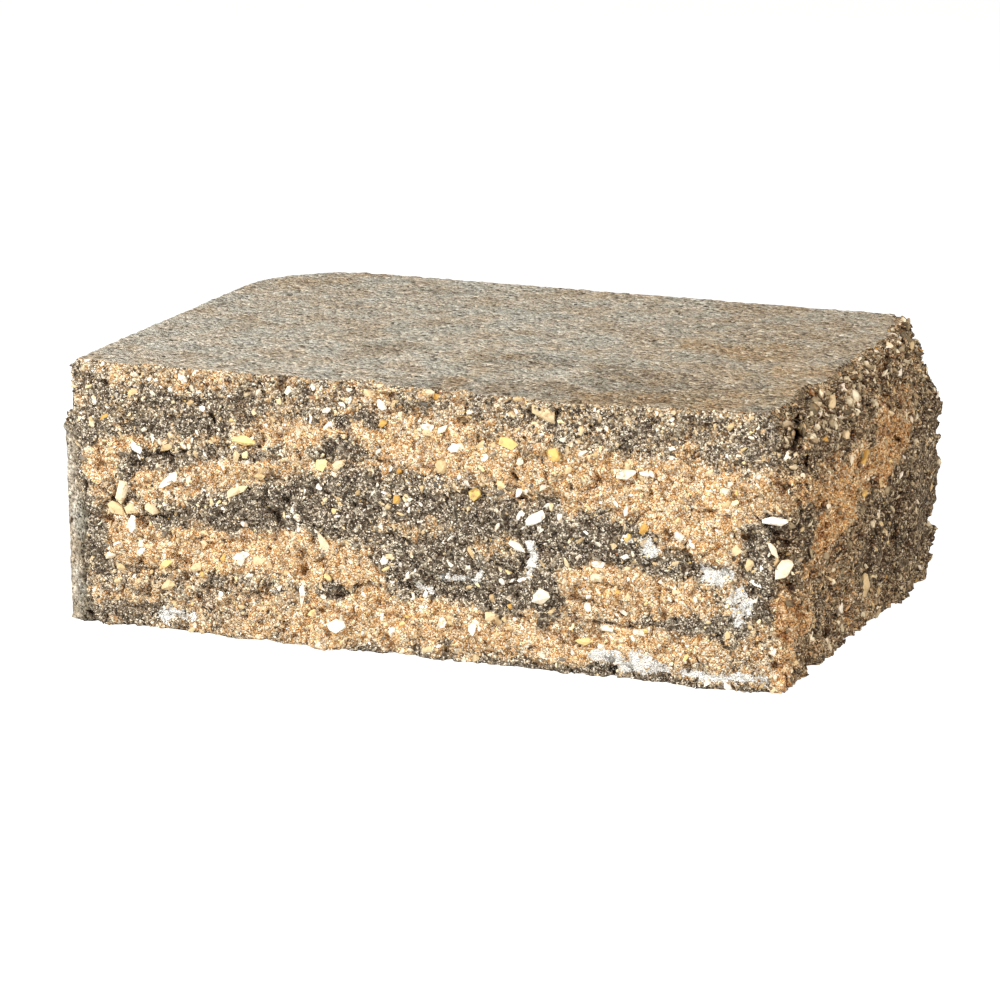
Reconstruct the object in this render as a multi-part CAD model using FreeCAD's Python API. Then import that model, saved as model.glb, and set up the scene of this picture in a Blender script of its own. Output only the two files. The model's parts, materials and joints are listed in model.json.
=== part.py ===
import FreeCAD, Part
import math
import os

from FreeCAD import Vector

# Retaining wall block of the nominal 12 x 8 x 4 inch size: one dry-cast concrete piece.
# A slab is moulded with plain beds, back and left side, then split twice, once along the
# face and once across the right end, so the two broken faces are rough and not square.
# Millimetres. +X runs along the face, +Y from the face to the back, +Z up.
# The origin is the middle of the bottom bed's envelope.

# Envelope of the finished block
length = 292.0
depth = 196.0
height = 101.6

# Moulded slab
rear_corner_radius = 42.0
notch_width = 15.0  # bevel left by the mould's splitting rib, measured along the face
notch_depth = 7.0  # the same bevel, measured front to back
cheek_flare = 5.0  # the cheek beside the notch stands out this far from the left side
cheek_run = 17.0  # the flare fades into the side over this length
cheek_height = 80.0  # above this the cheek broke away with the corner
cheek_break_rise = 5.0  # the broken end of the cheek slopes up by this much

# Split face, as distances behind the front of the envelope
face_skew = 13.0  # the split runs back by this much from the left end to the right end
face_brow = 5.0  # the top arris stands forward of the straight split by this much
face_brow_place = 187.0  # where along the face the brow stands furthest forward
face_brow_reach = 75.0  # how far from there the brow fades out
face_belly = 1.5  # the middle of the height stands forward by this much

# Corner between the split face and the broken end, which crumbled back
corner_reach = 20.0
corner_setback_top = 13.0
corner_setback_bottom = 2.0

# Broken right end at several places from the face to the back, each a share of the depth
# with its profile: pairs of height, as a share of the full height, and setback. The bottom
# arris is chipped halfway back, and its toe stands out behind that.
end_profiles = (
    (0.12, ((0.0, 8.5), (0.4, 8.5), (0.7, 5.0), (0.85, 1.5), (1.0, 12.5))),
    (0.55, ((0.0, 7.0), (0.15, 3.5), (0.7, 3.0), (0.85, 3.5), (1.0, 10.2))),
    (0.64, ((0.0, 2.5), (0.15, 1.5), (0.5, 1.2), (0.75, 2.5), (1.0, 9.7))),
    (0.75, ((0.0, -2.5), (0.15, -0.5), (0.5, 0.0), (0.8, 3.0), (1.0, 9.0))),
    (0.84, ((0.0, -2.0), (0.15, 0.0), (0.5, -1.0), (0.8, 3.5), (1.0, 11.5))),
    (0.92, ((0.0, -1.0), (0.1, 0.0), (0.5, -1.5), (0.8, 2.5), (1.0, 14.0))),
    (1.0, ((0.0, 3.5), (0.1, 1.5), (0.5, -1.5), (0.75, 2.0), (1.0, 16.5))),
)

# Roughness of the breaks: spacing of lumps and grain, and height from hollow to crest
lump_spacing = 34.0
grain_spacing = 14.0
face_lump = 3.4
face_grain = 2.6
end_lump = 3.2
end_grain = 3.0
facet_pitch = 6.5  # size of one fracture facet
facet_stagger = 0.28  # how unevenly facet corners are spread, as a share of the pitch

# Hollows where lumps fell out of a break: place along it, height, half width, half height
# and depth. Places count from the left end of the face, and from the front of the end.
face_hollows = (
    (18, 66, 7, 5, 2.0),
    (80, 38, 9, 4, 2.2),
    (138, 27, 14, 4, 2.5),
    (166, 66, 12, 4, 1.6),
    (218, 23, 16, 3, 2.2),
    (272, 45, 10, 17, 3.5),
    (278, 84, 6, 14, 2.0),
)
end_hollows = (
    (38, 50, 14, 14, 3.0),
    (88, 40, 12, 9, 2.5),
    (138, 84, 14, 6, 2.5),
)

# Ledges of the split face: the depth of a step, and the bent line, as places along and up,
# that the break steps back from. The step is on the right of the line and fades out.
ledge_reach = 8.0
face_ledges = (
    (2.7, ((86, 44), (70, 41), (51, 39), (40, 40))),
    (2.4, ((138, 25), (124, 32), (110, 42))),
    (2.1, ((38, 63), (18, 66))),
    (2.2, ((206, 22.5), (192, 23), (166, 24), (142, 24))),
    (2.1, ((246, 19), (226, 18.5), (212, 17))),
    (2.7, ((268, 62), (264, 52), (263.5, 42), (266, 34))),
    (2.4, ((48, 24), (18, 25))),
    (2.1, ((206, 60), (184, 62), (152, 68))),
    (2.2, ((258, 44), (242, 40), (224, 42), (204, 44))),
    (2.0, ((126, 68), (102, 66), (76, 60))),
)

# The raw slab runs past both splits by this much
waste = 30.0
# The waste that is cut off runs past the slab by this much
overrun = 15.0

left = -length / 2
right = length / 2
front = -depth / 2
back = depth / 2
side = left + cheek_flare  # the moulded left side


def lattice(i, k, seed):
    """Repeatable number from -1 to 1 for one corner of a lattice."""
    return (math.sin(i * 127.1 + k * 311.7 + seed * 74.7) * 43758.5453) % 2.0 - 1.0


def smooth(t):
    return t * t * (3.0 - 2.0 * t)


def roughness(u, w, spacing, seed):
    """Lattice values at the given spacing, blended smoothly in between."""
    i, k = math.floor(u / spacing), math.floor(w / spacing)
    s, t = smooth(u / spacing - i), smooth(w / spacing - k)
    low = lattice(i, k, seed) * (1 - s) + lattice(i + 1, k, seed) * s
    high = lattice(i, k + 1, seed) * (1 - s) + lattice(i + 1, k + 1, seed) * s
    return low * (1 - t) + high * t


def relief(u, z, lump, grain, seed):
    """How far a break falls back from its crests, u being the distance along it."""
    hollow = lump * (1 + roughness(u, z, lump_spacing, seed)) / 2
    return hollow + grain * (1 + roughness(u, z, grain_spacing, seed + 1)) / 2


def hollow_depth(u, z, hollows):
    """How deep a point lies in the deepest of the hollows."""
    deepest = 0.0
    for place, up, half_width, half_height, depth in hollows:
        away = math.hypot((u - place) / half_width, (z - up) / half_height)
        deepest = max(deepest, depth * smooth(part_way(away, 1.5, 0.5)))
    return deepest


def ledge_depth(u, z):
    """How far the split face steps back at a point beside its ledges."""
    deepest = 0.0
    for depth, line in face_ledges:
        for (u_0, z_0), (u_1, z_1) in zip(line, line[1:]):
            run = math.hypot(u_1 - u_0, z_1 - z_0)
            along = ((u - u_0) * (u_1 - u_0) + (z - z_0) * (z_1 - z_0)) / run
            beside = ((u - u_0) * (z_1 - z_0) - (z - z_0) * (u_1 - u_0)) / run
            past = max(0.0, -along, along - run)
            fade = part_way(math.hypot(beside, 2 * past), ledge_reach, 0.0)
            if beside > 0:
                deepest = max(deepest, depth * smooth(fade))
    return deepest


def part_way(value, start, end):
    """How far value lies from start to end, held between 0 and 1."""
    return min(1.0, max(0.0, (value - start) / (end - start)))


def read_off(stations, place):
    """Straight interpolation in a list of (place, value) pairs."""
    for (place_0, value_0), (place_1, value_1) in zip(stations, stations[1:]):
        if place <= place_1:
            return value_0 + (value_1 - value_0) * part_way(place, place_0, place_1)
    return stations[-1][1]


def end_setback(y, z):
    """How far the broken end stands back from its fullest part, before its relief."""
    up = part_way(z, 0.0, height)
    stations = [(place, read_off(profile, up)) for place, profile in end_profiles]
    return read_off(stations, part_way(y, front, back))


def split_face(x, z):
    """Y of the break along the face."""
    up = part_way(z, 0.0, height)
    y = front + face_skew * part_way(x, left, right)
    fade = part_way(abs(x - left - face_brow_place), face_brow_reach, 0.0)
    y -= face_brow * smooth(fade) * up
    y -= face_belly * math.sin(math.pi * up)
    end = right - end_setback(front, z)
    crumbled = part_way(x, end - corner_reach, end)
    setback = corner_setback_bottom + (corner_setback_top - corner_setback_bottom) * up
    y += setback * crumbled**2 + relief(x, z, face_lump, face_grain, 1)
    return y + hollow_depth(x - left, z, face_hollows) + ledge_depth(x - left, z)


def split_end(y, z):
    """X of the break across the right end."""
    setback = end_setback(y, z) + relief(y, z, end_lump, end_grain, 3)
    return right - max(0.0, setback + hollow_depth(y - front, z, end_hollows))


def flat_face(points):
    return Part.Face(Part.makePolygon(points + points[:1]))


def broken_offcut(u_start, u_end, point, outer, seed):
    """Solid with one fracture side of small flat facets, for cutting the slab.

    point(u, z) gives the break's point, and outer(p) moves it to the plain far side."""
    columns = max(2, round((u_end - u_start) / facet_pitch))
    rows = max(2, round((height + 2 * overrun) / facet_pitch))
    u_step = (u_end - u_start) / columns
    z_step = (height + 2 * overrun) / rows
    grid = []
    for i in range(columns + 1):
        column = []
        for k in range(rows + 1):
            inside = 0 < i < columns and 0 < k < rows
            stagger = facet_stagger if inside else 0.0
            u = u_start + (i + stagger * lattice(i, k, seed)) * u_step
            z = -overrun + (k + stagger * lattice(k, i, seed + 1)) * z_step
            column.append(point(u, z))
        grid.append(column)
    faces = []
    for i in range(columns):
        for k in range(rows):
            a, b = grid[i][k], grid[i + 1][k]
            c, d = grid[i + 1][k + 1], grid[i][k + 1]
            turned = lattice(i, k, seed + 2) > 0
            corners = ((a, b, c), (a, c, d)) if turned else ((a, b, d), (b, c, d))
            faces += [flat_face(list(three)) for three in corners]
    edges = (
        grid[0],
        grid[-1],
        [column[0] for column in grid],
        [column[-1] for column in grid],
    )
    faces += [flat_face(edge + [outer(edge[-1]), outer(edge[0])]) for edge in edges]
    ends = (grid[0][0], grid[-1][0], grid[-1][-1], grid[0][-1])
    faces.append(flat_face([outer(p) for p in ends]))
    return Part.makeSolid(Part.makeShell(faces))


def moulded_slab():
    """Slab as cast, longer and deeper than the block by the waste that is split off."""
    r = rear_corner_radius
    inset = r * (1 - math.cos(math.pi / 4))
    start = Vector(side, back - r, 0)
    middle = Vector(side + inset, back - inset, 0)
    end = Vector(side + r, back, 0)
    corners = [end, Vector(right + waste, back, 0), Vector(right + waste, front - waste, 0)]
    corners += [Vector(side, front - waste, 0), start]
    outline = [Part.Arc(start, middle, end).toShape()]
    outline += [Part.makeLine(p, q) for p, q in zip(corners, corners[1:])]
    return Part.Face(Part.Wire(outline)).extrude(Vector(0, 0, height))


def cheek():
    """Flared strip of the left side next to the splitting notch, broken off at the top."""
    notch_edge = front + notch_depth
    outline = flat_face(
        [
            Vector(side, notch_edge + cheek_run, 0),
            Vector(left, notch_edge, 0),
            Vector(left, front - waste, 0),
            Vector(side, front - waste, 0),
        ]
    )
    strip = outline.extrude(Vector(0, 0, cheek_height))
    slope = flat_face(
        [
            Vector(left - overrun, 0, cheek_height + overrun),
            Vector(left - overrun, 0, cheek_height - cheek_break_rise),
            Vector(left, 0, cheek_height - cheek_break_rise),
            Vector(side, 0, cheek_height),
            Vector(side, 0, cheek_height + overrun),
        ]
    )
    start = front - waste - overrun
    slope.translate(Vector(0, start, 0))
    end = notch_edge + cheek_run + overrun
    return strip.cut(slope.extrude(Vector(0, end - start, 0)))


def notch_offcut():
    """What the mould's splitting rib keeps clear, in front of the bevel at the left."""
    bevel_end = left + notch_width
    return flat_face(
        [
            Vector(left - overrun, front + notch_depth * (1 + overrun / notch_width), -overrun),
            Vector(left - overrun, front - waste - overrun, -overrun),
            Vector(bevel_end, front - waste - overrun, -overrun),
            Vector(bevel_end, front, -overrun),
        ]
    ).extrude(Vector(0, 0, height + 2 * overrun))


def wall_block():
    face_offcut = broken_offcut(
        left - overrun,
        right + waste + overrun,
        lambda x, z: Vector(x, split_face(x, z), z),
        lambda p: Vector(p.x, front - waste - overrun, p.z),
        5,
    )
    end_offcut = broken_offcut(
        front - waste - overrun,
        back + overrun,
        lambda y, z: Vector(split_end(y, z), y, z),
        lambda p: Vector(right + waste + overrun, p.y, p.z),
        8,
    )
    slab = moulded_slab().fuse(cheek()).removeSplitter()
    return slab.cut(notch_offcut()).cut(face_offcut).cut(end_offcut)


def main_piece(shape):
    """Splitting can leave loose crumbs, and the block is the largest piece."""
    return max(shape.Solids, key=lambda solid: solid.Volume)


os.makedirs("parts", exist_ok=True)
main_piece(wall_block()).exportStep("parts/wall_block.step")
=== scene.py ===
import json
import math

import bpy
import numpy as np
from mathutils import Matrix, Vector
from mathutils.bvhtree import BVHTree

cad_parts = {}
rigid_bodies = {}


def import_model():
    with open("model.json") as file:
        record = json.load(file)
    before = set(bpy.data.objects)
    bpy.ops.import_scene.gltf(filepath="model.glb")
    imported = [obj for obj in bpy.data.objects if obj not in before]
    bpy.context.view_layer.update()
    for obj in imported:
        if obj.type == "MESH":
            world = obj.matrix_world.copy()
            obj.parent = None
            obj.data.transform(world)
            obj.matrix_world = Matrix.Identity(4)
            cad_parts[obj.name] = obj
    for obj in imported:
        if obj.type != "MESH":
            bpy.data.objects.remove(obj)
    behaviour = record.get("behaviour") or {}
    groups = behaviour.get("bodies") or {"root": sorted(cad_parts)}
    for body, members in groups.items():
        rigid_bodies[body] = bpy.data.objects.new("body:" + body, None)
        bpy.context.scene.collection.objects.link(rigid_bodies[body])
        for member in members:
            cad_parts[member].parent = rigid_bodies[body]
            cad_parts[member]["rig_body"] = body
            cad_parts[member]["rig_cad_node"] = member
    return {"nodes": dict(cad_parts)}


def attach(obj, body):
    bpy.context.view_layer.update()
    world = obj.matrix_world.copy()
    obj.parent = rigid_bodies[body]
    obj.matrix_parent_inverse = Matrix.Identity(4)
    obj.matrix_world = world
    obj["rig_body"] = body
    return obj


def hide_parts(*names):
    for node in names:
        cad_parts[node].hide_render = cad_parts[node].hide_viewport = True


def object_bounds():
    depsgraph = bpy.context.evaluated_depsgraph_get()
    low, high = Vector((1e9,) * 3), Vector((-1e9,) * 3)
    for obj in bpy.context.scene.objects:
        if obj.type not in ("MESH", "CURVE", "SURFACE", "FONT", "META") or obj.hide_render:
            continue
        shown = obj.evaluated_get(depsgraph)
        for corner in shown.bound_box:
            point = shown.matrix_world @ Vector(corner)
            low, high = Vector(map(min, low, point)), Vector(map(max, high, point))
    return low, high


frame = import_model()
cad_low, cad_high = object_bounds()

# Retaining wall block of dry-cast concrete, split along its face and across one end.
# The cast piece is one closed mesh. Sand grains and stone chips stand out of its breaks,
# as joined meshes. All lengths are in metres, written as a number of millimetres.
mm = 0.001

# Places on the cast block, which the frame gives
left = cad_low.x
front = -cad_high.y
back = cad_high.y
height = cad_high.z

# Sizes of the moulded corner, notch and cheek
rear_corner_radius = 42 * mm
notch_width = 15 * mm
notch_depth = 7 * mm
cheek_flare = 5 * mm
cheek_run = 17 * mm
side = left + cheek_flare

# What no grain may stand out of
rounding = 0.001 * mm
box_low = np.array(cad_low) * (1, 1, 0) + (rounding, rounding, 0)
box_high = np.array(cad_high) - rounding

# Mesh of the cast piece
voxel = 0.95 * mm
most_triangles = 190000


# Camera, at the photograph's place and angle

camera_place = Vector((443.0, -1145.1, 373.4)) * mm
camera_turn = math.radians(21.42)  # left of straight at the face
camera_tilt = math.radians(15.30)  # below the horizon
camera_lens = 118.5  # on a 36 wide sensor


def add_camera():
    data = bpy.data.cameras.new("camera")
    data.sensor_width = 36
    data.lens = camera_lens
    camera = bpy.data.objects.new("camera", data)
    bpy.context.scene.collection.objects.link(camera)
    level = math.cos(camera_tilt)
    ahead = Vector((-math.sin(camera_turn) * level, math.cos(camera_turn) * level,
                    -math.sin(camera_tilt)))
    camera.location = camera_place
    camera.rotation_euler = ahead.to_track_quat("-Z", "Y").to_euler()
    bpy.context.scene.camera = camera
    bpy.context.scene.view_settings.view_transform = "Standard"


# Repeatable randomness in space

def hashed(cells, seed):
    """Repeatable number from 0 to 1 for each whole-number cell. Large odd numbers mix it."""
    n = cells.astype(np.int64) @ np.array([73856093, 19349663, 83492791])
    n = (n + seed * 974634777) & 0xFFFFFFFF
    n = ((n ^ (n >> 15)) * 2246822519) & 0xFFFFFFFF
    n = ((n ^ (n >> 13)) * 3266489917) & 0xFFFFFFFF
    return (n ^ (n >> 16)) / 0xFFFFFFFF


def ease(t):
    t = np.clip(t, 0, 1)
    return t * t * (3 - 2 * t)


def soft_noise(points, spacing, seed):
    """Smooth noise from 0 to 1 whose hills lie about this far apart."""
    p = points / spacing
    cell = np.floor(p)
    t = ease(p - cell)
    total = np.zeros(len(points))
    for corner in np.ndindex(2, 2, 2):
        weight = np.prod(np.where(np.array(corner) == 1, t, 1 - t), axis=1)
        total += weight * hashed(cell + corner, seed)
    return total


def wander(points, swing, spacing, seed):
    """Smooth noise about zero. Its swing and the spacing of its hills are in millimetres."""
    return swing * mm * (soft_noise(points, spacing * mm, seed) - 0.5)


def crumbs(points, spacing, seed):
    """Nearest crumb of a loose packing: vector from it, distance and 3 random numbers."""
    cell = np.floor(points / spacing)
    nearest = np.full(len(points), np.inf)
    offset = np.zeros((len(points), 3))
    luck = np.zeros((len(points), 3))
    for step in np.ndindex(3, 3, 3):
        here = cell + step - 1
        jitter = np.stack([hashed(here, seed + k) for k in range(3)], axis=1)
        away = points - (here + jitter) * spacing
        distance = np.linalg.norm(away, axis=1)
        closer = distance < nearest
        nearest[closer] = distance[closer]
        offset[closer] = away[closer]
        luck[closer] = np.stack([hashed(here[closer], seed + 3 + k) for k in range(3)], axis=1)
    return offset, nearest, luck


# Pigment bands of the split face and the broken end

def streak_cover(u, v, streaks):
    """How far each place lies inside the streaks, from 0 to 1.

    A streak is a bent line of stations: place along, height, and half of its thickness. It
    fades out between 0.6 and 1.6 times that."""
    fade_end = 1.6
    cover = np.zeros(len(u))
    for streak in streaks:
        for start, end in zip(streak, streak[1:]):
            (u0, v0, r0), (u1, v1, r1) = np.array(start) * mm, np.array(end) * mm
            run = (u1 - u0) ** 2 + (v1 - v0) ** 2
            t = np.clip(((u - u0) * (u1 - u0) + (v - v0) * (v1 - v0)) / run, 0, 1)
            away = np.hypot(u - u0 - t * (u1 - u0), v - v0 - t * (v1 - v0))
            radius = r0 + t * (r1 - r0)
            cover = np.maximum(cover, ease(fade_end - away / radius))
    return cover


# Each stroke is its share of charcoal grains and its streak. Later strokes cover earlier ones.
unstroked_face, unstroked_end = 0.38, 0.6
face_strokes = (
    # Mixed brown zones
    (0.60, ((-146, 86, 9), (-110, 88, 10), (-75, 90, 8))),
    (0.55, ((-72, 94, 6), (-45, 92, 6))),
    (0.48, ((-40, 97, 4), (45, 97, 4))),
    (0.60, ((40, 94, 5), (80, 92, 7), (110, 91, 8), (140, 92, 10))),
    (0.50, ((-130, 17, 6), (-100, 18, 6), (-70, 20, 5), (-52, 24, 3))),
    (0.36, ((-130, 6, 4), (-40, 5, 4))),
    (0.70, ((-132, 3, 3), (-112, 4, 3))),
    (0.34, ((-118, 52, 6), (-90, 58, 5))),
    # Tan bands
    (0.72, ((-146, 94, 7), (-128, 93, 6))),
    (0.32, ((-120, 96, 3), (-112, 96, 2.5), (-90, 97, 2.5), (-76, 98, 3.5))),
    (0.02, ((-137, 58, 4), (-131, 63, 6), (-122, 70, 4.5))),
    (0.16, ((-105, 59, 4), (-80, 63, 5), (-60, 66, 4))),
    (0.16, ((-52, 80, 4), (-30, 80, 5), (0, 80, 6), (30, 79, 7), (60, 74, 9))),
    (0.05, ((60, 74, 9), (90, 71, 11), (112, 66, 10))),
    (0.05, ((92, 60, 7), (106, 56, 7), (114, 52, 4))),
    (0.04, ((-130, 34, 6), (-105, 33, 8), (-80, 34, 7), (-58, 37, 8), (-42, 34, 9), (-30, 26, 7))),
    (0.12, ((-45, 12, 6), (-20, 12, 8), (10, 13, 6), (40, 13, 5))),
    (0.10, ((45, 35, 6), (70, 33, 8), (95, 31, 6))),
    (0.20, ((50, 14, 4), (80, 13, 4), (110, 14, 5))),
    (0.30, ((122, 13, 6), (136, 15, 10))),
    # Charcoal bands
    (0.80, ((-138, 77, 3), (-110, 77, 3), (-75, 80, 2.5))),
    (0.84, ((-117, 64, 4), (-108, 66, 4), (-97, 68, 3))),
    (0.70, ((-97, 68, 2.5), (-76, 71, 2.5), (-58, 72, 2.5))),
    (0.85, ((-39, 74, 3.5), (-28, 75, 3.5))),
    (0.80, ((-36, 87, 2.5), (-20, 87, 2.5))),
    (0.76, ((-108, 46, 3), (-95, 46, 5), (-80, 48, 6), (-68, 50, 8), (-52, 55, 6))),
    (0.92, ((-56, 55, 6), (-38, 55, 9), (-20, 56, 11), (-5, 52, 15), (10, 47, 18), (28, 45, 16))),
    (0.92, ((24, 46, 16), (42, 50, 10), (62, 53, 7.5), (80, 49, 6.5), (95, 45, 4.5), (107, 43, 2))),
    (0.92, ((-18, 34, 4), (-6, 32, 8), (15, 33, 9), (35, 32, 8), (48, 25, 3))),
    (0.80, ((-40, 23, 2.5), (-33, 22, 2.5))),
    (0.94, ((129, 55, 8), (133, 48, 12), (133, 40, 12), (127, 33, 7))),
    (0.80, ((83, 23, 2), (100, 23, 3), (118, 22, 2.5))),
    (0.80, ((50, 3, 3), (68, 2, 3))),
    (0.85, ((-139, 74, 4), (-138, 62, 3), (-134.5, 50, 3), (-133, 34, 4), (-131, 20, 4))),
    (0.75, ((-45, 0, 1.5), (0, 0, 2), (55, 0, 2.5), (128, 0, 2.5))),
    # Small tan patches inside the main band
    (0.45, ((-12, 48, 3), (-2, 50, 4), (8, 52, 3))),
    (0.50, ((20, 46, 4), (34, 46, 4))),
)
end_strokes = (
    # Mixed brown zones
    (0.62, ((-98, 92, 7), (-60, 90, 8), (-20, 90, 7), (30, 91, 6), (85, 92, 6))),
    (0.50, ((-45, 30, 8), (-20, 22, 10), (-5, 12, 8))),
    # Tan bands
    (0.10, ((-98, 72, 7), (-86, 72, 6))),
    (0.40, ((-76, 72, 7), (-50, 73, 6))),
    (0.10, ((-72, 65, 3), (-45, 66, 4))),
    (0.02, ((-42, 65, 7), (-20, 66, 9), (0, 67, 10), (25, 69, 12), (48, 72, 9))),
    (0.40, ((48, 74, 6), (64, 76, 4))),
    (0.02, ((-54, 47, 6), (-40, 48, 8), (-26, 50, 7))),
    (0.05, ((-98, 27, 10), (-80, 25, 11), (-68, 22, 7))),
    (0.12, ((-98, 9, 8), (-80, 8, 6))),
    # Charcoal bands
    (0.95, ((-98, 50, 13), (-80, 50, 12), (-66, 50, 9))),
    (0.85, ((-90, 61, 4), (-58, 60, 3))),
    (0.90, ((70, 70, 9), (98, 70, 12))),
    (0.86, ((-56, 25, 4), (-46, 23, 4))),
    (0.84, ((8, 42, 9), (40, 42, 11), (80, 48, 13), (98, 48, 15))),
    (0.84, ((0, 27, 8), (40, 24, 13), (80, 26, 17), (98, 26, 17))),
    (0.85, ((-90, 84, 4), (-50, 86, 5), (-25, 85, 3))),
    (0.80, ((-14, 78, 2.5), (8, 78, 2.5))),
)
# White lime bloom, as streaks
bleached_on_face = (
    ((66, 9, 3), (74, 7.5, 4), (90, 6, 2.2)),
    ((98, 5, 1.7), (126, 4, 2.2)),
    ((116, 34, 4.5), (118, 28, 3)),
    ((103, 43, 2), (111, 42, 2.5)),
    ((76, 54, 1.2), (86, 49, 1.8)),
    ((5, 31, 1.3), (20, 33, 1.5)),
    ((-105, 6, 3), (-95, 5, 2)),
    ((39, 47, 1.2), (41, 38, 2)),
    ((-3, 27, 2), (0, 26, 2.5)),
)


def end_share(points):
    """1 on the broken end, 0 on the split face, and in between round their corner."""
    corner_along, corner_back, blend = 133 * mm, -84 * mm, 8 * mm
    past_corner = points[:, 0] - corner_along + points[:, 1] - corner_back
    return ease(past_corner / blend + 0.5)


def painted(u, v, base, strokes):
    share = np.full(len(u), base)
    for amount, streak in strokes:
        share += (amount - share) * streak_cover(u, v, (streak,))
    return share


def charcoal_share(points):
    """Share of charcoal grains in the concrete at each point, from 0 to 1."""
    finer = wander(points, 6.5, 8, 55) + wander(points, 4.5, 4, 54)
    sideways = wander(points, 6, 16, 50) + finer
    upward = wander(points, 6, 16, 51) + finer
    x, y, z = points[:, 0] + sideways, points[:, 1] + sideways, points[:, 2] + upward
    on_end = end_share(points)
    share = painted(x, z, unstroked_face, face_strokes) * (1 - on_end)
    share += painted(y, z, unstroked_end, end_strokes) * on_end
    # The bands are mixed unevenly, but a clean tan band stays nearly clean
    broad_mixing, fine_mixing, least_mixing, calmer_end = 0.3, 0.34, 0.15, 0.4
    most_charcoal = 0.95
    mixing = broad_mixing * (soft_noise(points, 8 * mm, 52) - 0.5)
    mixing += fine_mixing * (soft_noise(points, 3 * mm, 53) - 0.5)
    mixing *= np.clip(4 * share, least_mixing, 1) * (1 - calmer_end * on_end)
    return np.clip(share + mixing, 0, most_charcoal)


def bleached_share(points):
    """Share of white lime bloom on the split face."""
    stroke_weight, patch_weight, scarcity = 1.6, 2, 2.1
    bend = wander(points, 4, 6, 60)
    cover = streak_cover(points[:, 0] + bend, points[:, 2] + bend, bleached_on_face)
    patchy = soft_noise(points, 3 * mm, 61) + 0.5 * soft_noise(points, 1.2 * mm, 62)
    above_arris = ease(points[:, 2] / (3 * mm) - 0.4)
    bloom = ease(cover * stroke_weight + patchy * patch_weight - scarcity)
    return bloom * (1 - end_share(points)) * above_arris


# Stains on the moulded top, as streaks of place along, place back, half width
rust_on_top = (
    ((112, -15, 9), (120, -35, 10), (114, -60, 9)),
    ((4, 92, 8), (18, 96, 8)),
    ((70, 20, 10), (95, 10, 12)),
    ((-130, 60, 8), (-105, 85, 10)),
    ((4, -96, 5), (6, -60, 6), (2, -30, 5)),
    ((60, -78, 8), (100, -76, 10)),
)
soot_on_top = (
    ((-20, -84, 10), (40, -80, 14), (110, -74, 14)),
    ((10, -30, 8), (24, -34, 8)),
    ((-45, -32, 6), (-38, -36, 6)),
    ((60, -40, 18), (90, -50, 16)),
    ((-70, 66, 7), (-62, 70, 7)),
)


def skin_stains(points):
    """Shares of rust-coloured staining, and of dark staining together with painted shade along the
    side's notch, on the moulded faces.
    """
    rust_strength, soot_strength = 0.6, 0.32
    olive_rust, olive_soot = 0.4, 0.11
    bend = wander(points, 22, 14, 80)
    x, y = points[:, 0] + bend, points[:, 1] + bend
    on_top = points[:, 2] > height - 3 * mm
    # The right half of the top is more olive: a little of both stains
    olive = ease(points[:, 0] / (90 * mm))
    rust = (rust_strength * streak_cover(x, y, rust_on_top) + olive_rust * olive) * on_top
    soot_and_shade = (soot_strength * streak_cover(x, y, soot_on_top) + olive_soot * olive) * on_top
    # Painted shade on the front half of the side, most of all along the notch
    along_notch = ease((points[:, 0] - left - 4 * mm) / (6 * mm))
    along_notch *= points[:, 1] < front + 2 * notch_depth
    shaded_side = (0.3 + 0.7 * along_notch) * (1 - on_top) * (points[:, 1] < 0)
    return np.clip(rust, 0, 1), np.clip(np.maximum(soot_and_shade, shaded_side), 0, 1)


# Cement skin beside the notch, as a streak of place along, height, half width
smeared_beside_notch = (
    ((-144, 0, 8), (-144, 20, 7), (-145, 45, 6), (-146, 62, 4.5), (-147, 74, 3)),
)


def smeared_share(points):
    """Share of cement skin that the splitting rib smeared over the break beside its notch."""
    ragged = wander(points, 4, 6, 70) + wander(points, 3, 2, 71)
    cover = streak_cover(points[:, 0] + ragged, points[:, 2], smeared_beside_notch)
    return ease(cover * 2 - 0.4) * (points[:, 1] < 0)


# Mesh helpers

def select_only(obj):
    bpy.ops.object.select_all(action="DESELECT")
    obj.select_set(True)
    bpy.context.view_layer.objects.active = obj


def apply_modifier(obj, kind, **settings):
    select_only(obj)
    modifier = obj.modifiers.new(kind.lower(), kind)
    for name, value in settings.items():
        setattr(modifier, name, value)
    bpy.ops.object.modifier_apply(modifier=modifier.name)


def vertex_places(mesh):
    flat = np.zeros(len(mesh.vertices) * 3)
    mesh.vertices.foreach_get("co", flat)
    return flat.reshape(-1, 3)


def store(mesh, name, values):
    """Keeps one number for each vertex under a name that materials can read."""
    layer = mesh.attributes.new(name, "FLOAT", "POINT")
    layer.data.foreach_set("value", np.asarray(values, np.float32))


def stored(mesh, name):
    values = np.zeros(len(mesh.vertices), np.float32)
    mesh.attributes[name].data.foreach_get("value", values)
    return values


def sunken_depth(mesh, places, normals):
    """How far each vertex lies below the level of the surface a few millimetres around it."""
    ends = np.zeros(len(mesh.edges) * 2, np.int64)
    mesh.edges.foreach_get("vertices", ends)
    a, b = ends.reshape(-1, 2).T
    count = len(places)
    neighbours = np.bincount(ends, minlength=count)[:, None]
    level = places.copy()
    smoothings = 12
    for smoothing in range(smoothings):
        axes = [
            np.bincount(a, level[b, k], count) + np.bincount(b, level[a, k], count)
            for k in range(3)
        ]
        level = np.stack(axes, axis=1) / neighbours
    return np.sum((level - places) * normals, axis=1)


# The cast piece

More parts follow.
